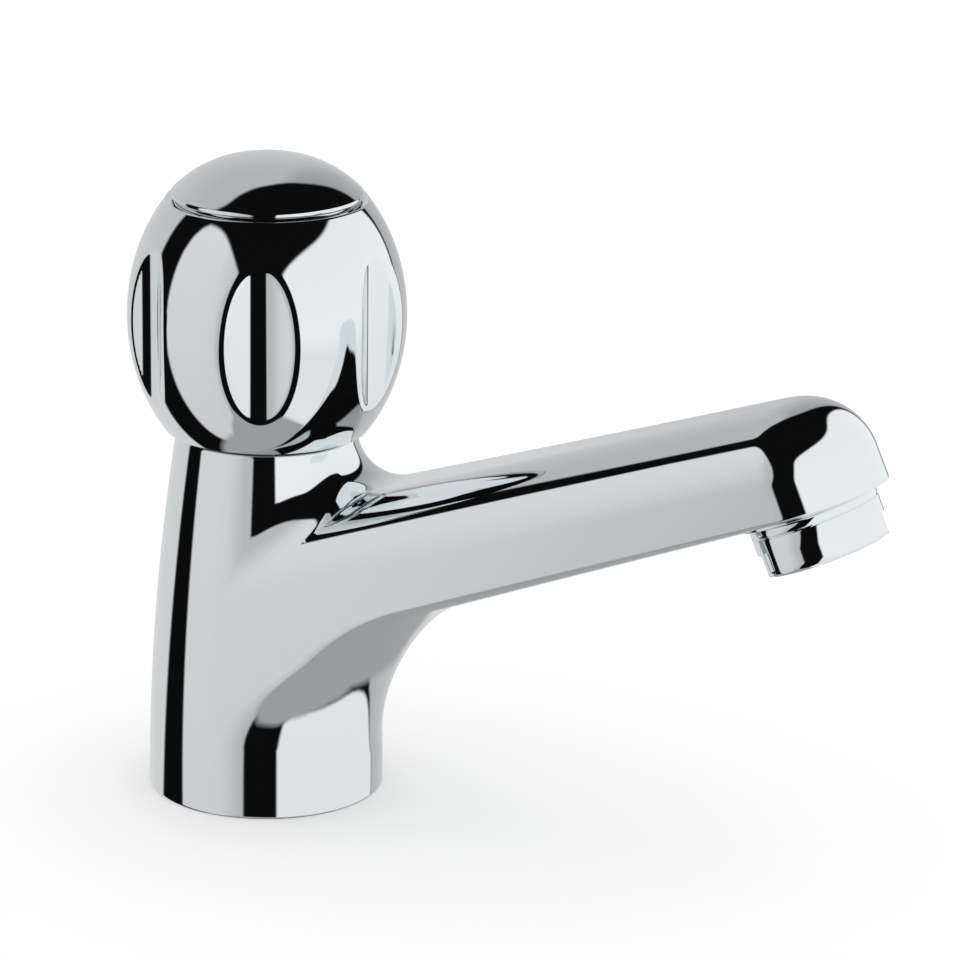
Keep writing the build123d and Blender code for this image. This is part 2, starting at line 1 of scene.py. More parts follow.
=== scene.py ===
import math

import bmesh
import bpy
import numpy as np
from mathutils import Matrix, Vector


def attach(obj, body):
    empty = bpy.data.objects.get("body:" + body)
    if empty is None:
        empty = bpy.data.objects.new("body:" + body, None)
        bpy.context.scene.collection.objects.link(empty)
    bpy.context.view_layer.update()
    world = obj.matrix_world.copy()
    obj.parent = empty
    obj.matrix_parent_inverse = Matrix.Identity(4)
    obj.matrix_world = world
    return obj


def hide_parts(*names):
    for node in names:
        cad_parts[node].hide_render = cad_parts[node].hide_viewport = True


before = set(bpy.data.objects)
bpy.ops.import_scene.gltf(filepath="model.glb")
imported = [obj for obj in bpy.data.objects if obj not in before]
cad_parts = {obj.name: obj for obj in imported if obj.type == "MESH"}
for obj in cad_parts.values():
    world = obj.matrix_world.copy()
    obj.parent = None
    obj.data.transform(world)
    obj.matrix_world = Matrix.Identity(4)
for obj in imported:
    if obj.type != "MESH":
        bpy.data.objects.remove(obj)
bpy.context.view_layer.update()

MM = 0.001

# Below the deck and inside the tap: the brass shank and back nut, the valve, and the washers and
# seals between them. All are turned, stamped or moulded parts that keep the shapes of the frame.


def linear(code):
    # an sRGB hex colour as the linear colour that a shader takes
    parts = [int(code[i : i + 2], 16) / 255 for i in (1, 3, 5)]
    parts = [c / 12.92 if c <= 0.04045 else ((c + 0.055) / 1.055) ** 2.4 for c in parts]
    return parts + [1]


def add_node(material, kind, settings=None, **links):
    # adds one node, sets its values and links its inputs from (node, output) pairs
    tree = material.node_tree
    node = tree.nodes.new(kind)
    for name, value in (settings or {}).items():
        if name in node.inputs:
            node.inputs[name].default_value = value
        else:
            setattr(node, name, value)
    for name, (source, output) in links.items():
        tree.links.new(source.outputs[output], node.inputs[name.replace("_", " ")])
    return node


def new_material(name, slot, **settings):
    # a material with its finish slot and the constants of its shader
    material = bpy.data.materials.new(name)
    material.use_nodes = True
    shader = material.node_tree.nodes["Principled BSDF"]
    for key, value in settings.items():
        shader.inputs[key.replace("_", " ")].default_value = value
    material["slot"] = slot
    return material, shader


def dress(node_names, material):
    # gives CAD nodes their finish
    for name in node_names:
        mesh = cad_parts[name].data
        mesh.materials.clear()
        mesh.materials.append(material)


def grain(material, shader, size_mm, roughness, height_mm, stretch=(1, 1, 1)):
    # noise of one real size that varies the roughness and lifts the surface a little
    place = add_node(material, "ShaderNodeTexCoord")
    turn = add_node(material, "ShaderNodeMapping", {"Scale": stretch}, Vector=(place, "Object"))
    noise = add_node(
        material,
        "ShaderNodeTexNoise",
        {"Scale": 1 / (size_mm * MM), "Detail": 3.0, "Roughness": 0.5},
        Vector=(turn, "Vector"),
    )
    spread = add_node(
        material,
        "ShaderNodeMapRange",
        {"To Min": roughness[0], "To Max": roughness[1]},
        Value=(noise, "Fac"),
    )
    bump = add_node(
        material,
        "ShaderNodeBump",
        {"Strength": 1.0, "Distance": height_mm * MM},
        Height=(noise, "Fac"),
    )
    links = material.node_tree.links
    links.new(spread.outputs["Result"], shader.inputs["Roughness"])
    links.new(bump.outputs["Normal"], shader.inputs["Normal"])


# turned brass: a warm yellow metal, its reflections blurred by the fine rings that the tool leaves
turned_brass, shader = new_material(
    "turned_brass", "brass", Base_Color=linear("#D9B36A"), Metallic=1.0
)
grain(turned_brass, shader, 0.6, (0.22, 0.36), 0.004, (1, 1, 8))
dress(
    ["inlet_shank", "backnut", "spindle", "valve_carrier", "washer_screw", "handle_insert"],
    turned_brass,
)
# nickel plate on turned brass: darker and warmer than chrome, with a soft shine
nickel_plate, shader = new_material(
    "nickel_plate", "brass", Base_Color=linear("#8F8C86"), Metallic=1.0
)
grain(nickel_plate, shader, 0.8, (0.16, 0.26), 0.003)
dress(["headwork_body"], nickel_plate)
# stainless sheet, stamped and tumbled: a neutral grey with an even satin
stainless_sheet, shader = new_material(
    "stainless_sheet", "steel", Base_Color=linear("#C4C3BE"), Metallic=1.0
)
grain(stainless_sheet, shader, 0.4, (0.18, 0.3), 0.002)
dress(
    ["deck_washer_metal", "spindle_circlip", "handle_screw", "screw_washer", "aerator_screen"],
    stainless_sheet,
)
# moulded rubber: near black and matt, with the texture of its mould
moulded_rubber, shader = new_material("moulded_rubber", "rubber", Base_Color=linear("#1C1C1D"))
grain(moulded_rubber, shader, 0.5, (0.6, 0.8), 0.01)
dress(
    [
        "base_gasket",
        "shank_seal",
        "deck_washer_rubber",
        "headwork_seal",
        "spindle_o_rings",
        "valve_washer",
        "aerator_gasket",
    ],
    moulded_rubber,
)
# moulded acetal: off-white and waxy, with a sheen that varies a little
moulded_acetal, shader = new_material("moulded_acetal", "plastic", Base_Color=linear("#E4E3DD"))
grain(moulded_acetal, shader, 0.5, (0.35, 0.5), 0.003)
dress(["thrust_washer", "aerator_insert"], moulded_acetal)

# The body: one brass casting, ground, polished and plated with bright nickel and chrome. Its skin
# is a bowed column that runs tangent into a tapered spout, so it reads as one liquid surface. The
# fields are in mm.

base_r = 24.0
column_bow = 495.0
neck_top = 75.0
# the arch from the foot to the spout's straight underside
arch_r = 42.4
arch_low = 9.3
under_slope = 0.405
# the spout's flat top, the edges beside it and the fillet at its root
top_height = 58.17
top_slope = 0.346
top_round = 12.4
root_round = 9.0
soft_join = 0.4
# the front under the spout: round like the column below round_top, then flatter up to front_top
spout_end_r = 16.0
front_end = 4.0
front_side = 20.0
front_top = 90.0
round_top = 16.0
round_fade = 20.0
# the nozzle's middle and its lean
outlet = np.array([122.7, 0.0, 68.4])
nozzle_lean = math.radians(24.4)
nozzle_out = np.array([math.cos(nozzle_lean), 0, math.sin(nozzle_lean)])
nozzle_up = np.array([-math.sin(nozzle_lean), 0, math.cos(nozzle_lean)])
arch_turn = math.atan(under_slope)
arch_x = base_r - 0.1 + arch_r
arch_end = (arch_x - arch_r * math.sin(arch_turn), arch_low + arch_r * math.cos(arch_turn))


def column_field(p):
    # distance from the column's wall, negative inside
    radius = base_r - p[:, 2] ** 2 / (2 * column_bow)
    return np.hypot(p[:, 0], p[:, 1]) - radius


def rounded_max(a, b, radius):
    # where two faces meet square, the solid's edge gets this radius
    corner = np.hypot(np.maximum(a + radius, 0), np.maximum(b + radius, 0))
    return corner + np.minimum(np.maximum(a + radius, b + radius), 0) - radius


def spout_field(p):
    # distance from the spout: tapered sides, the arch below, the round nose and the flat top
    x, y, z = p[:, 0], np.abs(p[:, 1]), p[:, 2]
    out = (p - outlet) @ nozzle_out
    root_r = base_r - z**2 / (2 * column_bow)
    reach = outlet[0] - (z - outlet[2]) * math.tan(nozzle_lean)
    taper = np.arcsin((root_r - spout_end_r) / reach)
    lean_taper = np.arctan(np.tan(taper) / math.cos(nozzle_lean))
    wall = out * np.sin(lean_taper) + y * np.cos(lean_taper) - spout_end_r
    side = np.where(out > spout_end_r * np.sin(lean_taper), np.hypot(out, y) - spout_end_r, wall)
    side = np.where(x < root_r * np.sin(taper), np.hypot(x, y) - root_r, side)
    half_width = spout_end_r + np.clip(1 - x / reach, 0, 1) * (root_r - spout_end_r)

    # furthest point of the underside at this height, and how deep its front is rounded
    rise = np.clip(z - arch_low, 0, arch_end[1] - arch_low)
    arch = arch_x - np.sqrt(arch_r**2 - rise**2)
    front = arch + np.maximum(z - arch_end[1], 0) / under_slope
    depth = front_end + (front_side - front_end) * np.clip(1 - z / front_top, 0, 1)
    t = np.clip((z - round_top) / round_fade, 0, 1)
    depth = depth + (base_r - 1 - depth) * (1 - t * t * (3 - 2 * t))
    across = 1 + side / half_width
    along = 1 + (x - front) / depth
    low = (np.hypot(np.maximum(across, 0), np.maximum(along, 0)) - 1) * half_width
    top = (z - top_height - top_slope * x) * math.cos(math.atan(top_slope))
    return rounded_max(low, top, top_round)


def slope(field, p, step=0.01):
    # gradient of a field by central differences
    parts = []
    for i in range(3):
        move = np.zeros(3)
        move[i] = step
        parts.append((field(p + move) - field(p - move)) / (2 * step))
    return np.stack(parts, axis=1)


same_face = 0.9995
fade = 0.05


def body_field(p):
    # column and spout, with a rolled fillet where the spout's top leaves the neck. It fades out
    # where the two walls run into each other, up to the cosine same_face
    a, b = column_field(p), spout_field(p)
    na, nb = slope(column_field, p), slope(spout_field, p)
    scale = np.linalg.norm(nb, axis=1)
    nb = nb / scale[:, None]
    na = na / np.linalg.norm(na, axis=1)[:, None]
    b = b / scale
    g = np.clip((na * nb).sum(1), -0.999, same_face)
    radius = root_round * np.clip((same_face - g) / fade, 0.001, 1)
    u, v = a - radius, b - radius
    inside = (u - g * v < 0) & (v - g * u < 0)
    ball = np.sqrt((u * u - 2 * g * u * v + v * v) / (1 - g * g))
    soft = soft_join * np.clip((1 - g) / fade, 0.001, 1)
    overlap = np.maximum(soft - np.abs(a - b), 0)
    joined = np.minimum(a, b) - overlap**2 / (4 * soft)
    return np.where(inside, np.minimum(radius - ball, joined), joined)


def settle(field, p, rounds=8, reach=1.5):
    # moves points down the field's slope until they lie on its zero surface
    for _ in range(rounds):
        n = slope(field, p)
        step = field(p)[:, None] * n / np.maximum((n * n).sum(1), 0.05)[:, None]
        size = np.linalg.norm(step, axis=1)[:, None]
        p = p - step * np.minimum(1, reach / np.maximum(size, 1e-9))
    return p


def mesh_from(bm, name, crease=None):
    # the finished mesh, smooth up to this edge angle where one is given
    mesh = bpy.data.meshes.new(name)
    bm.to_mesh(mesh)
    bm.free()
    if crease:
        mesh.shade_smooth()
        mesh.set_sharp_from_angle(angle=math.radians(crease))
    return mesh


def finish_piece(mesh, name, material, body, node):
    # puts the mesh in the scene with its finish, its body and the CAD node that it stands for
    piece = bpy.data.objects.new(name, mesh)
    bpy.context.scene.collection.objects.link(piece)
    mesh.materials.clear()
    mesh.materials.append(material)
    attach(piece, body)
    if node:
        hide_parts(node)
    return piece


def points_of(mesh):
    p = np.zeros(len(mesh.vertices) * 3)
    mesh.vertices.foreach_get("co", p)
    return p.reshape(-1, 3)


# nickel and chrome plated on a hand-polished casting: a cool mirror with long, very shallow waves
bright_chrome, shader = new_material(
    "bright_chrome_plate", "chrome", Base_Color=linear("#E6EAEC"), Metallic=1.0
)
grain(bright_chrome, shader, 9.0, (0.02, 0.045), 0.0015)


def net(values, start, pitch):
    # a vertex for every cell of the grid that the surface passes through, and a quad for every
    # grid edge that it cuts
    inside = values < 0
    count = sum(
        inside[i : i - 1 or None, j : j - 1 or None, k : k - 1 or None].astype(int)
        for i in (0, 1)
        for j in (0, 1)
        for k in (0, 1)
    )
    cells = (count > 0) & (count < 8)
    number = np.full(cells.shape, -1)
    number[cells] = np.arange(cells.sum())
    faces = []
    for axis in range(3):
        edge = [slice(1, -1)] * 3
        ahead = list(edge)
        edge[axis], ahead[axis] = slice(0, -1), slice(1, None)
        at = np.argwhere(inside[tuple(edge)] != inside[tuple(ahead)])
        first, second = [i for i in range(3) if i != axis]
        at[:, first] += 1
        at[:, second] += 1
        ring = []
        for a, b in ((1, 1), (0, 1), (0, 0), (1, 0)):
            cell = at.copy()
            cell[:, first] -= a
            cell[:, second] -= b
            ring.append(number[cell[:, 0], cell[:, 1], cell[:, 2]])
        faces.append(np.stack(ring, axis=1))
    return start + (np.argwhere(cells) + 0.5) * pitch, np.concatenate(faces)


# a grid round the whole body, with the full field only near the wall, where its sign can change
pitch = 0.9
start = np.array([-26.0, -26.0, -2.0])
span = (168, 52, 108)
near_wall = 6
shape = tuple(int(side / pitch) for side in span)
cells = np.meshgrid(*[np.arange(n) for n in shape], indexing="ij")
points = (start + np.stack(cells, axis=-1) * pitch).reshape(-1, 3)
values = np.minimum(column_field(points), spout_field(points))
near = (np.abs(values) < near_wall) & (points[:, 2] < front_top)
values[near] = body_field(points[near])
places, quads = net(values.reshape(shape), start, pitch)
skin = bpy.data.meshes.new("net")
skin.from_pydata(places.tolist(), [], quads.tolist())
p = settle(body_field, points_of(skin), 4)
# the vertices even out along the surface, because the grid leaves them in steps
edges = np.zeros(len(skin.edges) * 2, int)
skin.edges.foreach_get("vertices", edges)
edges = edges.reshape(-1, 2)
count = np.bincount(edges.ravel(), minlength=len(p))[:, None]
for _ in range(6):
    total = np.zeros_like(p)
    np.add.at(total, edges[:, 0], p[edges[:, 1]])
    np.add.at(total, edges[:, 1], p[edges[:, 0]])
    p = settle(body_field, 0.5 * p + 0.5 * total / count, 2)
skin.vertices.foreach_set("co", p.ravel())
bm = bmesh.new()
bm.from_mesh(skin)
bmesh.ops.recalc_face_normals(bm, faces=bm.faces[:])
bmesh.ops.triangulate(bm, faces=bm.faces[:])


def refine(bm, field, turn, shortest):
    # splits the edges along which the surface turns by more than this, and settles the new points
    p = np.array([v.co[:] for v in bm.verts])
    normals = slope(field, p)
    normals /= np.linalg.norm(normals, axis=1)[:, None]
    bm.verts.index_update()
    ends = np.array([[v.index for v in e.verts] for e in bm.edges])
    turned = (normals[ends[:, 0]] * normals[ends[:, 1]]).sum(1) < math.cos(turn)
    turned &= np.linalg.norm(p[ends[:, 0]] - p[ends[:, 1]], axis=1) > shortest
    chosen = [e for e, t in zip(bm.edges, turned) if t]
    bmesh.ops.subdivide_edges(bm, edges=chosen, cuts=1)
    bmesh.ops.triangulate(bm, faces=[f for f in bm.faces if len(f.verts) > 3])
    p = settle(field, np.array([v.co[:] for v in bm.verts]), 3)
    for v, co in zip(bm.verts, p):
        v.co = co


for _ in range(3):
    refine(bm, body_field, math.radians(6), 0.12)
bmesh.ops.scale(bm, vec=(MM, MM, MM), verts=bm.verts[:])

# cut level just above the foot and below the neck's face, where turned rings take over
foot_cut = 0.6
neck_cut = neck_top - 0.4
neck_side = 19.5
for height, sign in ((foot_cut, -1), (neck_cut, 1)):
    bmesh.ops.bisect_plane(
        bm,
        geom=bm.verts[:] + bm.edges[:] + bm.faces[:],
        dist=1e-6,
        plane_co=(0, 0, height * MM),
        plane_no=(0, 0, 1),
        clear_outer=False,
        clear_inner=False,
    )
    limit = height * MM
    gone = [
        v
        for v in bm.verts
        if sign * (v.co.z - limit) > 1e-7 and (sign < 0 or v.co.x < neck_side * MM)
    ]
    bmesh.ops.delete(bm, geom=gone, context="VERTS")


def collar(bm, rim, place, steps):
    # continues an open rim through rings of (radius, height) about this axis, and caps the last
    back = place.inverted()
    for radius, z in steps:
        made = bmesh.ops.extrude_edge_only(bm, edges=rim)["geom"]
        rim = [g for g in made if isinstance(g, bmesh.types.BMEdge)]
        for v in {v for e in rim for v in e.verts}:
            flat = (back @ v.co).to_2d().normalized() * radius * MM
            v.co = place @ Vector((flat.x, flat.y, z * MM))
    bmesh.ops.contextual_create(bm, geom=rim)


def rim_at(bm, height):
    rim = [e for e in bm.edges if e.is_boundary]
    return [e for e in rim if abs(e.verts[0].co.z - height * MM) < 2e-5]


thread_r = 10.52
seat_r = 15.6
seat_floor = 68
neck_r = base_r - neck_top**2 / (2 * column_bow)
neck = [(neck_r - 0.1, 74.88), (neck_r - 0.4, neck_top), (seat_r, neck_top), (seat_r, seat_floor)]
neck += [(thread_r, seat_floor), (thread_r, 55)]
collar(bm, rim_at(bm, neck_cut), Matrix.Identity(4), neck)
groove_in, groove_out = 14, 20.5
groove_deep = 2.2
foot = [(23.95, 0.3), (23.75, 0.09), (23.4, 0), (groove_out, 0), (groove_out, groove_deep)]
foot += [(groove_in, groove_deep), (groove_in, 0), (thread_r, 0), (thread_r, 14)]
collar(bm, rim_at(bm, foot_cut), Matrix.Identity(4), foot)

# the nose is faced off square to the nozzle's axis, where the aerator seats
lip_height = 9.85
nose_reach = 20
nose_only = 90
nozzle = Matrix.Translation(Vector(outlet * MM)) @ Matrix.Rotation(-nozzle_lean, 4, "Y")
nozzle_back = nozzle.inverted()
for place, normal in (
    (nozzle @ Vector((0, 0, lip_height * MM)), Vector(nozzle_up)),
    (nozzle @ Vector((-nose_reach * MM, 0, 0)), Vector(nozzle_out)),
):
    near = [f for f in bm.faces if f.calc_center_median().x > nose_only * MM]
    around = list({v for f in near for v in f.verts}) + list({e for f in near for e in f.edges})
    bmesh.ops.bisect_plane(bm, geom=around + near, dist=1e-7, plane_co=place, plane_no=normal)
gone = []
for f in bm.faces:
    middle = nozzle_back @ f.calc_center_median()
    below = middle.z < lip_height * MM and middle.x > -nose_reach * MM
    if below and middle.to_2d().length < 24 * MM:
        gone.append(f)
bmesh.ops.delete(bm, geom=gone, context="FACES")
rim = [e for e in bm.edges if e.is_boundary]
made = bmesh.ops.extrude_edge_only(bm, edges=rim)["geom"]
rim = [g for g in made if isinstance(g, bmesh.types.BMEdge)]
for v in {v for e in rim for v in e.verts}:
    local = nozzle_back @ v.co
    flat = local.to_2d()
    flat = flat * (1 - 0.04 * MM / flat.length)
    v.co = nozzle @ Vector((flat.x, flat.y, local.z))
collar(bm, rim, nozzle, [(14.0, lip_height), (14.0, lip_height + 2)])
bmesh.ops.recalc_face_normals(bm, faces=bm.faces[:])
body_mesh = mesh_from(bm, "body_skin")


def polish(mesh, field, keep):
    # smooth shading, with the exact slope of the field as the normal where keep says so
    mesh.shade_smooth()
    p = points_of(mesh) / MM
    normals = np.zeros(len(mesh.vertices) * 3)
    mesh.vertices.foreach_get("normal", normals)
    normals = normals.reshape(-1, 3)
    exact = slope(field, p)
    exact /= np.linalg.norm(exact, axis=1)[:, None]
    chosen = keep(p)
    normals[chosen] = exact[chosen]
    mesh.normals_split_custom_set_from_vertices(normals.tolist())


def on_skin(p):
    # the vertices between the turned rings of the foot and the neck
    on_neck = (p[:, 2] > neck_cut - 0.05) & (p[:, 0] < neck_side)
    return (np.abs(body_field(p)) < 0.05) & (p[:, 2] > foot_cut - 0.05) & ~on_neck


polish(body_mesh, body_field, on_skin)
finish_piece(body_mesh, "body_skin", bright_chrome, "tap_body", "body_casting")


def spun(profile, steps):
    # a bmesh turned from a profile of (radius, height) in mm about +Z
    bm = bmesh.new()
    row = [bm.verts.new((r * MM, 0, h * MM)) for r, h in profile]
    line = [bm.edges.new(pair) for pair in zip(row, row[1:])]
    bmesh.ops.spin(
        bm,
        geom=row + line,
        cent=(0, 0, 0),
        axis=(0, 0, 1),
        angle=2 * math.pi,
        steps=steps,
        use_merge=True,
    )
    bmesh.ops.remove_doubles(bm, verts=bm.verts[:], dist=1e-7)
    bmesh.ops.recalc_face_normals(bm, faces=bm.faces[:])
    return bm


# the stub that carries the aerator, with the lip round it
bore_r, stub_r, lip_r = 9, 11, 14.9
stub_low, stub_top = 4.4, 13.85
bevel = 0.2
lip_face = lip_height - 0.01
stub = [(bore_r, stub_low + bevel), (bore_r + bevel, stub_low), (stub_r - bevel, stub_low)]
stub += [(stub_r, stub_low + bevel), (stub_r, lip_face), (lip_r - 0.1, lip_face)]
stub += [(lip_r, lip_face + 0.1), (lip_r, stub_top), (bore_r, stub_top)]
stub += [(bore_r, stub_low + bevel)]
bm = spun(stub, 192)
bmesh.ops.transform(bm, matrix=nozzle, verts=bm.verts[:])
stub_mesh = mesh_from(bm, "nozzle_stub", crease=35)
finish_piece(stub_mesh, "nozzle_stub", bright_chrome, "tap_body", None)

# The knob: a hollow zinc die casting with six vertical hollows for the fingers, plated like the
# body. It is pushed on the spindle's splines and held by a screw under the cap.

knob_r = 28.09
knob_mid = 99.3
knob_high = 34.5
knob_deep = 34.2
knob_low = 75.6
knob_top = 123.3
flutes = 6
flute_r = 12.0
flute_reach = 24.9
flute_turn = math.radians(-4.6)
flute_round = 3.5


def knob_field(p):
    # distance from the knob's wall: an egg with upright round hollows and rolled edges
    radius = np.hypot(p[:, 0], p[:, 1])
    lift = p[:, 2] - knob_mid
    tall = np.where(lift > 0, knob_high, knob_deep)
    bulge = knob_r * np.sqrt(np.clip(1 - (lift / tall) ** 2, 0.01, 1))
    tilt = 1 / np.sqrt(1 + (knob_r / bulge * knob_r * lift / tall**2) ** 2)
    shell = (radius - bulge) * tilt
    angle = np.arctan2(p[:, 1], p[:, 0]) - flute_turn
    angle = (angle + math.pi / flutes) % (2 * math.pi / flutes) - math.pi / flutes
    centre = flute_reach + flute_r
    away = np.hypot(radius * np.cos(angle) - centre, radius * np.sin(angle))
    flute = flute_r - away
    # edge between the two faces, rolled at their real angle
    n_shell = np.stack([tilt, np.zeros_like(tilt), np.sign(lift) * np.sqrt(1 - tilt**2)], axis=1)
    toward = (centre - radius * np.cos(angle)) / away
    along = -radius * np.sin(angle) / away
    outward = toward * np.cos(angle) + along * np.sin(angle)
    around = along * np.cos(angle) - toward * np.sin(angle)
    n_flute = np.stack([outward, around, 0 * away], axis=1)
    g = np.clip((n_shell * n_flute).sum(1), -0.9, same_face)
    u, v = shell + flute_round, flute + flute_round
    outside = (u - g * v > 0) & (v - g * u > 0)
    ball = np.sqrt((u * u - 2 * g * u * v + v * v) / (1 - g * g))
    return np.where(outside, ball - flute_round, np.maximum(shell, flute))


# a turned blank: a plain outside, the rim and the cap's pocket, the screw's hole, the hub and the
# hollow. The outside then moves in to the field
rim_top = knob_top - 0.06
pocket_r, pocket_floor = 18.95, 118.6
screw_r, screw_seat = 5, 112
hub_bore, hub_r, hub_low = 5.92, 8.2, 96.5
hollow_r, hollow_top = 21.6, 115
mouth_r = 16.9
rows = 168
outer = [(knob_r, z) for z in np.linspace(knob_low + 0.5, knob_top - 0.4, rows)]
inner = [(20.3, rim_top), (20.1, rim_top), (19.6, knob_top - 0.35), (pocket_r, knob_top - 0.5)]
inner += [(pocket_r, pocket_floor), (screw_r, pocket_floor), (screw_r, screw_seat)]
inner += [(hub_bore, screw_seat), (hub_bore, hub_low), (hub_r, hub_low), (hub_r, hollow_top)]
inner += [(19.1, hollow_top), (hollow_r, 107), (hollow_r, 85.6), (mouth_r, knob_low + 1)]
inner += [(mouth_r, knob_low), (18.6, knob_low), (19.0, knob_low + 0.15)]
bm = spun(outer + inner + outer[:1], 480)
knob_mesh = mesh_from(bm, "knob_shell")
p = points_of(knob_mesh) / MM
skin_points = np.hypot(p[:, 0], p[:, 1]) > knob_r - 0.01
q = p[skin_points]
angle = np.arctan2(q[:, 1], q[:, 0])
near, far = np.full(len(q), 15.0), np.full(len(q), knob_r + 1)
for _ in range(30):
    middle = (near + far) / 2
    trial = np.stack([middle * np.cos(angle), middle * np.sin(angle), q[:, 2]], axis=1)
    inside = knob_field(trial) < 0
    near, far = np.where(inside, middle, near), np.where(inside, far, middle)
p[skin_points] = trial
knob_mesh.vertices.foreach_set("co", (p * MM).ravel())
polish(knob_mesh, knob_field, lambda p: np.abs(knob_field(p)) < 0.005)
finish_piece(knob_mesh, "knob_shell", bright_chrome, "knob", "handle_shell")

# The cap: a pressed, domed disc that snaps into the knob's top and hides the screw. Its rim stands
# a hair above the knob's shoulder and leaves a dark joint line.

cap_r = 19.3
cap_low = 123.75
cap_top = 131.9
dome_low = 124.55
dome_power = 2.6
skirt_in, skirt_out = 17.4, 18.7
skirt_low = 119.6
wall = 1.2
dome = []
for part in np.linspace(1, 0, 64) ** 1.6:
    radius = (cap_r - 0.12) * (1 - part) if part < 1 else 0
    share = 1 - (radius / cap_r) ** dome_power
    dome.append((radius, dome_low + (cap_top - dome_low) * share))
dome = dome[::-1]
profile = [(0, cap_top - wall), (skirt_in, dome_low - 0.4), (skirt_in, skirt_low)]
profile += [(skirt_out, skirt_low), (skirt_out, cap_low)]
profile += [(cap_r - 0.3, cap_low), (cap_r - 0.08, cap_low + 0.1), (cap_r, cap_low + 0.35)]
profile += [(cap_r, dome_low - 0.3), (cap_r - 0.04, dome_low - 0.1)] + dome
bm = spun(profile, 240)
cap_mesh = mesh_from(bm, "knob_cap", crease=40)
finish_piece(cap_mesh, "knob_cap", bright_chrome, "knob", "handle_cap")

# The aerator: a turned and plated brass cup screwed on the nozzle, with a thin upper ring, a
# groove and a barrel with two flats for a spanner. The moulded insert and the screen sit inside.

aerator_r = 12.9
aerator_bore = 11.04
mouth_r = 9.2
lip_thick = 1.6
housing_top = 9.6
groove = housing_top - 1.7
groove_r = aerator_r - 0.2
flat_wide = 24.3
flat_high = 4.3
flat_turn = math.radians(26)
profile = [
    (mouth_r, 0.15),
    (mouth_r + 0.15, 0),
    (12.3, 0),
    (12.62, 0.1),
    (12.77, 0.32),
    (aerator_r, 0.6),
    (aerator_r, 1.5),
    (aerator_r, 2.4),
    (aerator_r, 3.3),
    (aerator_r, flat_high - 0.12),
    (aerator_r, flat_high),
    (aerator_r, groove - 0.4),
    (aerator_r - 0.04, groove - 0.28),
    (groove_r, groove - 0.2),
    (groove_r, groove),
    (aerator_r - 0.06, groove + 0.06),
    (aerator_r, groove + 0.2),
    (aerator_r, housing_top - 0.25),
    (aerator_r - 0.1, housing_top - 0.07),
    (aerator_r - 0.3, housing_top),
    (aerator_bore, housing_top),
    (aerator_bore, lip_thick),
    (mouth_r, lip_thick),
    (mouth_r, 0.15),
]
bm = spun(profile, 256)
# the two flats, pressed into the lower barrel
across = Vector((math.cos(flat_turn), math.sin(flat_turn), 0))
for v in bm.verts:
    if v.co.z < (flat_high - 0.06) * MM and v.co.xy.length > 12 * MM:
        over = abs(v.co.dot(across)) - flat_wide / 2 * MM
        if over > 0:
            v.co -= across * math.copysign(over, v.co.dot(across))
bmesh.ops.transform(bm, matrix=nozzle, verts=bm.verts[:])
aerator_mesh = mesh_from(bm, "aerator_cup", crease=35)
finish_piece(aerator_mesh, "aerator_cup", bright_chrome, "tap_body", "aerator_housing")

# The studio: the camera as the photograph had it, a dark tent with soft white panels for the
# chrome to show, a pale table with the tap hole and a white room. The panels stand where the
# photograph's reflections ask for them, and only reflections see the tent.

camera_place = (445.48, -811.57, 354.42)
camera_right = (0.89593, 0.44394, 0.01496)
camera_up = (-0.14538, 0.26125, 0.95426)
camera_ahead = (-0.41972, 0.85713, -0.29861)
focal_px = 4782.88
camera_data = bpy.data.cameras.new("camera")
sensor_mm = 36
picture_px = 960
camera_data.sensor_width = sensor_mm
camera_data.lens = focal_px * sensor_mm / picture_px
camera_data.clip_end = 20
camera = bpy.data.objects.new("camera", camera_data)
bpy.context.scene.collection.objects.link(camera)
turn = Matrix((camera_right, camera_up, [-c for c in camera_ahead])).transposed().to_4x4()
camera.matrix_world = Matrix.Translation(Vector(camera_place) * MM) @ turn
bpy.context.scene.camera = camera


def stage_piece(bm, name):
    piece = bpy.data.objects.new(name, mesh_from(bm, name))
    bpy.context.scene.collection.objects.link(piece)
    return piece


# the tent: a dark sphere with soft white panels and, low down, a grey band that is a painted
# reflection of the table, as directions from its middle in degrees: across from the camera, then
# up
tent_middle = Vector((30, 0, 70)) * MM
tent_r = 0.32
left_panel = [(-86, -62), (-88, -30), (-86, 0), (-85, 44), (-62, 50), (-42, 44), (-24, 27)]
left_panel += [(-18, 8), (-20, -8), (-24, -20), (-26, -34), (-26, -46), (-35, -60), (-60, -64)]
right_panel = [(7, -54), (7, -40), (8, -15), (8, 20), (9, 32), (20, 40), (38, 46), (60, 49)]
right_panel += [(80, 51), (104, 53), (124, 48), (137, 34), (143, 12), (134, -15), (128, -40)]
right_panel += [(115, -58), (70, -62), (30, -60)]
back_panel = [(126, -60), (130, -30), (144, 0), (146, 40), (150, 60), (167, 69), (196, 75)]
back_panel += [(235, 73), (252, 69), (267, 63), (266, 54), (255, 48), (251, 40), (254, 0)]
back_panel += [(250, -20), (238, -40), (235, -60)]
# the upper edge of the painted reflection of the table: below it the tent glows an even grey
painted_table_reflection_edge = [(-180, -62), (-60, -60), (-45, -50), (-35, -40), (-20, -41), (0, -47), (15, -54)]
painted_table_reflection_edge += [(40, -60), (70, -62), (110, -60), (140, -48), (160, -38), (180, -35)]


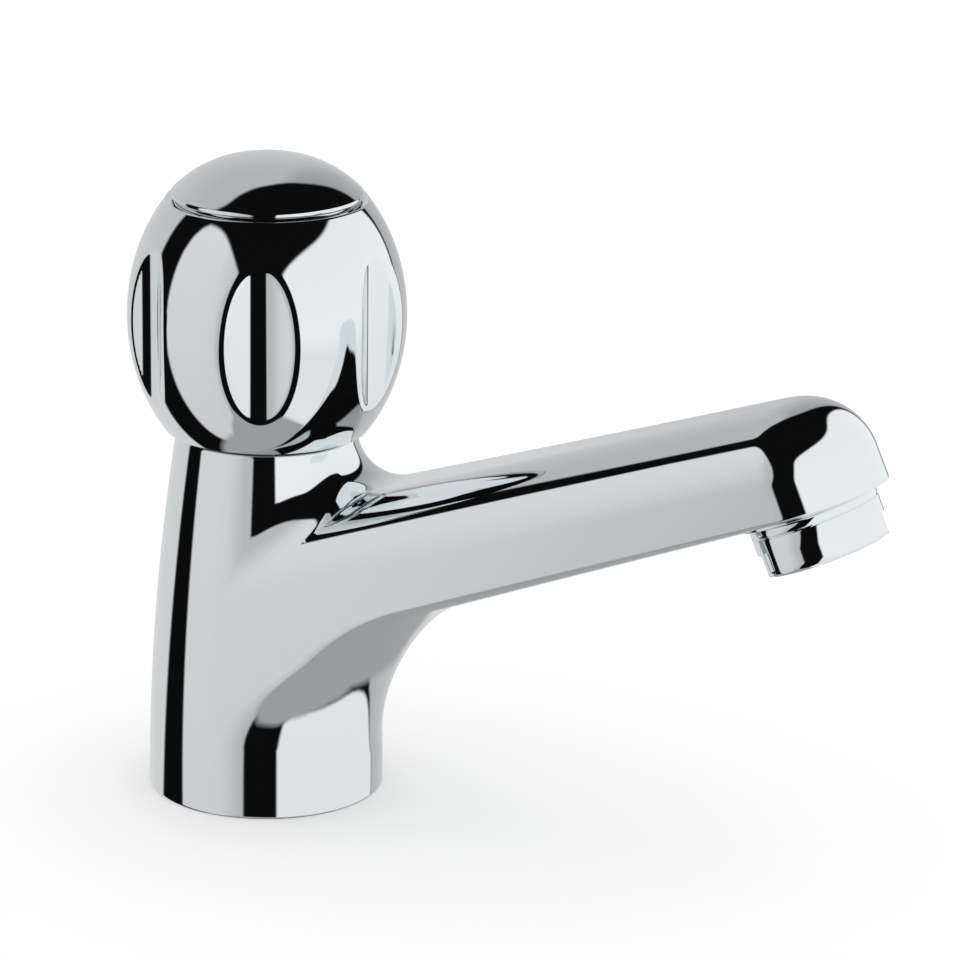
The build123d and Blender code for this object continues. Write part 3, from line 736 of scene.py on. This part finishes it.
def soft_inside(points, corners, softness):
    # 1 inside the polygon, 0 outside and a smooth step of this width between, by the nearest edge,
    # once the polygon's corners have been cut twice
    for _ in range(2):
        following = corners[1:] + corners[:1]
        cut = []
        for (a, b), (c, d) in zip(corners, following):
            cut.append((0.75 * a + 0.25 * c, 0.75 * b + 0.25 * d))
            cut.append((0.25 * a + 0.75 * c, 0.25 * b + 0.75 * d))
        corners = cut
    x, y = points[:, 0], points[:, 1]
    squeeze = np.cos(np.radians(np.clip(y, -75, 75)))
    nearest = np.full(len(x), 1e9)
    inside = np.zeros(len(x), bool)
    for (ax, ay), (bx, by) in zip(corners, corners[1:] + corners[:1]):
        ex, ey = (bx - ax) * squeeze, by - ay
        px, py = (x - ax) * squeeze, y - ay
        t = np.clip((px * ex + py * ey) / (ex * ex + ey * ey), 0, 1)
        nearest = np.minimum(nearest, np.hypot(px - t * ex, py - t * ey))
        crosses = (ay > y) != (by > y)
        with np.errstate(divide="ignore", invalid="ignore"):
            inside ^= crosses & (x < (bx - ax) * (y - ay) / (by - ay) + ax)
    t = np.clip(0.5 + np.where(inside, nearest, -nearest) / softness, 0, 1)
    return t * t * (3 - 2 * t)


bm = bmesh.new()
bmesh.ops.create_uvsphere(
    bm, u_segments=480, v_segments=240, radius=tent_r, matrix=Matrix.Translation(tent_middle)
)
tent = stage_piece(bm, "tent")

# the panels' levels, as azimuth from the camera and height in degrees
p = (points_of(tent.data) - np.array(tent_middle)) / tent_r
toward = math.atan2(-camera_ahead[1], -camera_ahead[0])
side = math.atan2(camera_right[1], camera_right[0])
turn_sign = 1 if math.sin(side - toward) > 0 else -1
azimuth = np.degrees((np.arctan2(p[:, 1], p[:, 0]) - toward) * turn_sign)
azimuth = (azimuth + 180) % 360 - 180
height = np.degrees(np.arcsin(np.clip(p[:, 2], -1, 1)))
front = np.stack([azimuth, height], axis=1)
behind = np.stack([azimuth % 360, height], axis=1)
chrome_return = 0.82
dark_cloth = 0.0035
painted_table_reflection_level = 0.33
left_level = 0.61 + 0.0008 * (height + 10)
left_level *= np.interp(azimuth, [-60, -46, -36, -28], [1.03, 1.0, 0.88, 0.77])
right_level = 0.83 - 0.0006 * height - 0.1 * np.clip((-4 - height) / 12, 0, 1)
back_level = np.interp(azimuth % 360, [130, 165, 180], [0.42, 0.5, 0.6])
back_level -= 0.0024 * np.clip(height + 10, -5, 62)
level = np.full(len(p), dark_cloth)
for share, bright in (
    (soft_inside(front, left_panel, 2.5), left_level),
    (soft_inside(front, right_panel, 2.5), right_level),
    (soft_inside(behind, back_panel, 3), back_level),
):
    level = level * (1 - share) + bright * share
# painted reflection of the table: the tent glows grey below this edge, where the chrome would show
# the table
line = np.interp(azimuth, [a for a, h in painted_table_reflection_edge], [h for a, h in painted_table_reflection_edge])
share = np.clip(0.5 + (line - height) / 4, 0, 1)
level = level * (1 - share) + painted_table_reflection_level * share
attribute = tent.data.attributes.new("level", "FLOAT", "POINT")
attribute.data.foreach_set("value", level / chrome_return)
tent.data.shade_smooth()

# tent cloth: black, with lit diffusers, so that chrome shows clean edges between dark and light
tent_cloth = bpy.data.materials.new("tent_cloth")
tent_cloth.use_nodes = True
tent_cloth.node_tree.nodes.clear()
painted = add_node(tent_cloth, "ShaderNodeAttribute", {"attribute_name": "level"})
glow = add_node(tent_cloth, "ShaderNodeEmission", Strength=(painted, "Fac"))
add_node(tent_cloth, "ShaderNodeOutputMaterial", Surface=(glow, "Emission"))
tent.data.materials.append(tent_cloth)
tent.visible_camera = False
tent.visible_shadow = False
tent.visible_diffuse = False

# the table: pale, with the tap hole, and bright to the camera wherever the tap does not shade it
tap_hole_r = 14
table_r = 1.2
table_glow = 0.18
bm = bmesh.new()
hole = bmesh.ops.create_circle(bm, segments=96, radius=tap_hole_r * MM)["verts"]
rim = list({e for v in hole for e in v.link_edges})
made = bmesh.ops.extrude_edge_only(bm, edges=rim)["geom"]
for v in [g for g in made if isinstance(g, bmesh.types.BMVert)]:
    v.co = v.co.normalized() * table_r
bmesh.ops.recalc_face_normals(bm, faces=bm.faces[:])
floor = stage_piece(bm, "table")
# reflections do not see the table, so the chrome shows the tent's painted grey band in its place
floor.visible_glossy = False

# matt white paint: no sheen at all, so only the tap's soft shadow is seen on it
table_paint = bpy.data.materials.new("table_paint")
table_paint.use_nodes = True
shader = table_paint.node_tree.nodes["Principled BSDF"]
shader.inputs["Base Color"].default_value = linear("#F6F6F6")
shader.inputs["Roughness"].default_value = 0.9
shader.inputs["Specular IOR Level"].default_value = 0.0
seen = add_node(table_paint, "ShaderNodeLightPath")
links = table_paint.node_tree.links
links.new(seen.outputs["Is Camera Ray"], shader.inputs["Emission Strength"])
shader.inputs["Emission Color"].default_value = (table_glow, table_glow, table_glow, 1)
floor.data.materials.append(table_paint)

# the room: one even white, a little under full so that nothing clips
room_level = 0.95
world = bpy.data.worlds.new("surround")
world.use_nodes = True
back = world.node_tree.nodes["Background"]
back.inputs["Color"].default_value = (1, 1, 1, 1)
back.inputs["Strength"].default_value = room_level
bpy.context.scene.world = world
bpy.context.scene.view_settings.view_transform = "Standard"
